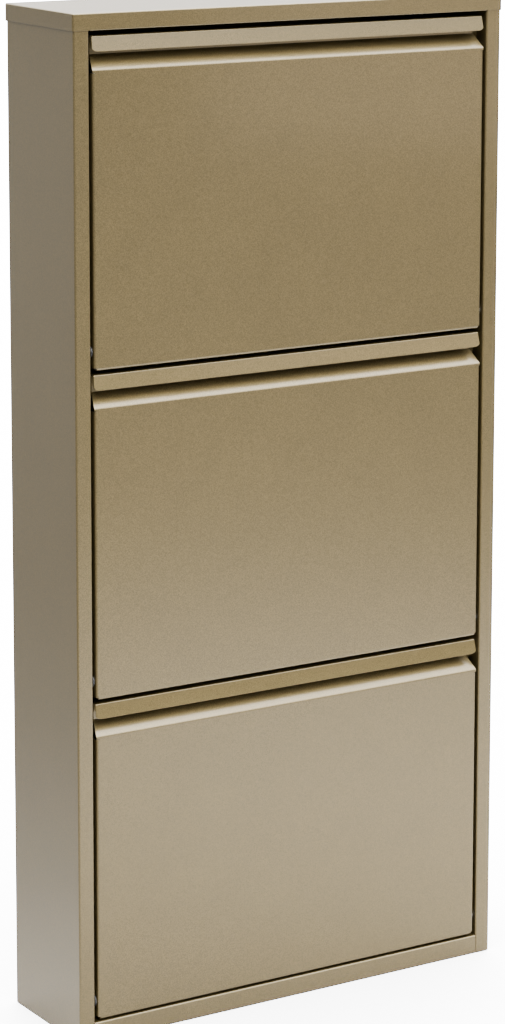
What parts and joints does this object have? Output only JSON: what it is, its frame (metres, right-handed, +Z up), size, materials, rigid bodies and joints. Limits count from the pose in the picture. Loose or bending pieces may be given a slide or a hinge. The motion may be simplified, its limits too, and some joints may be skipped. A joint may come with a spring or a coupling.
{
  "type": "shoe cabinet",
  "caption": "Slim wall-standing shoe cabinet of folded sheet steel in champagne metallic powder coat, with stacked tip-out flaps that carry shoe pockets behind finger lips.",
  "frame": {"origin": "on the floor, in the middle of the footprint", "axes": "+X to the right as one stands in front, +Y from the front to the back, +Z up"},
  "size_m": [0.5, 0.14, 1.03],
  "materials": {
    "champagne_coat": "champagne bronze metallic powder coat, fine grain, semi-gloss",
    "zinc_plate": "bright zinc plate",
    "black_plastic": "moulded, matt",
    "grey_rubber": "matt"
  },
  "bodies": {
    "cabinet": {"left_side_panel": "champagne_coat", "right_side_panel": "champagne_coat", "top_cover": "champagne_coat", "base_tray": "champagne_coat", "back_panel": "champagne_coat", "wall_rail": "zinc_plate", "back_screw_left_lower": "zinc_plate", "back_screw_left_middle": "zinc_plate", "back_screw_left_upper": "zinc_plate", "back_screw_right_lower": "zinc_plate", "back_screw_right_middle": "zinc_plate", "back_screw_right_upper": "zinc_plate", "foot_front_left": "black_plastic", "foot_front_right": "black_plastic", "foot_back_left": "black_plastic", "foot_back_right": "black_plastic", "bottom_cross_rail": "champagne_coat", "bottom_buffer_left": "grey_rubber", "bottom_hinge_pin_left": "zinc_plate", "bottom_buffer_right": "grey_rubber", "bottom_hinge_pin_right": "zinc_plate", "middle_cross_rail": "champagne_coat", "middle_buffer_left": "grey_rubber", "middle_hinge_pin_left": "zinc_plate", "middle_buffer_right": "grey_rubber", "middle_hinge_pin_right": "zinc_plate", "top_cross_rail": "champagne_coat", "top_buffer_left": "grey_rubber", "top_hinge_pin_left": "zinc_plate", "top_buffer_right": "grey_rubber", "top_hinge_pin_right": "zinc_plate"},
    "bottom_flap": {"bottom_flap_front": "champagne_coat", "bottom_shoe_tray": "champagne_coat", "bottom_rear_rail": "champagne_coat", "bottom_cheek_left": "champagne_coat", "bottom_hinge_bush_left": "black_plastic", "bottom_stop_pin_left": "zinc_plate", "bottom_cheek_right": "champagne_coat", "bottom_hinge_bush_right": "black_plastic", "bottom_stop_pin_right": "zinc_plate"},
    "middle_flap": {"middle_flap_front": "champagne_coat", "middle_shoe_tray": "champagne_coat", "middle_rear_rail": "champagne_coat", "middle_cheek_left": "champagne_coat", "middle_hinge_bush_left": "black_plastic", "middle_stop_pin_left": "zinc_plate", "middle_cheek_right": "champagne_coat", "middle_hinge_bush_right": "black_plastic", "middle_stop_pin_right": "zinc_plate"},
    "top_flap": {"top_flap_front": "champagne_coat", "top_shoe_tray": "champagne_coat", "top_rear_rail": "champagne_coat", "top_cheek_left": "champagne_coat", "top_hinge_bush_left": "black_plastic", "top_stop_pin_left": "zinc_plate", "top_cheek_right": "champagne_coat", "top_hinge_bush_right": "black_plastic", "top_stop_pin_right": "zinc_plate"}
  },
  "joints": [
    {"name": "bottom_flap_hinge", "type": "hinge", "parent": "cabinet", "child": "bottom_flap", "pos_m": [0, -0.06, 0.0405], "axis": [1, 0, 0], "range_deg": [0, 40]},
    {"name": "middle_flap_hinge", "type": "hinge", "parent": "cabinet", "child": "middle_flap", "pos_m": [0, -0.06, 0.3704], "axis": [1, 0, 0], "range_deg": [0, 40]},
    {"name": "top_flap_hinge", "type": "hinge", "parent": "cabinet", "child": "top_flap", "pos_m": [0, -0.06, 0.7003], "axis": [1, 0, 0], "range_deg": [0, 40]}
  ]
}
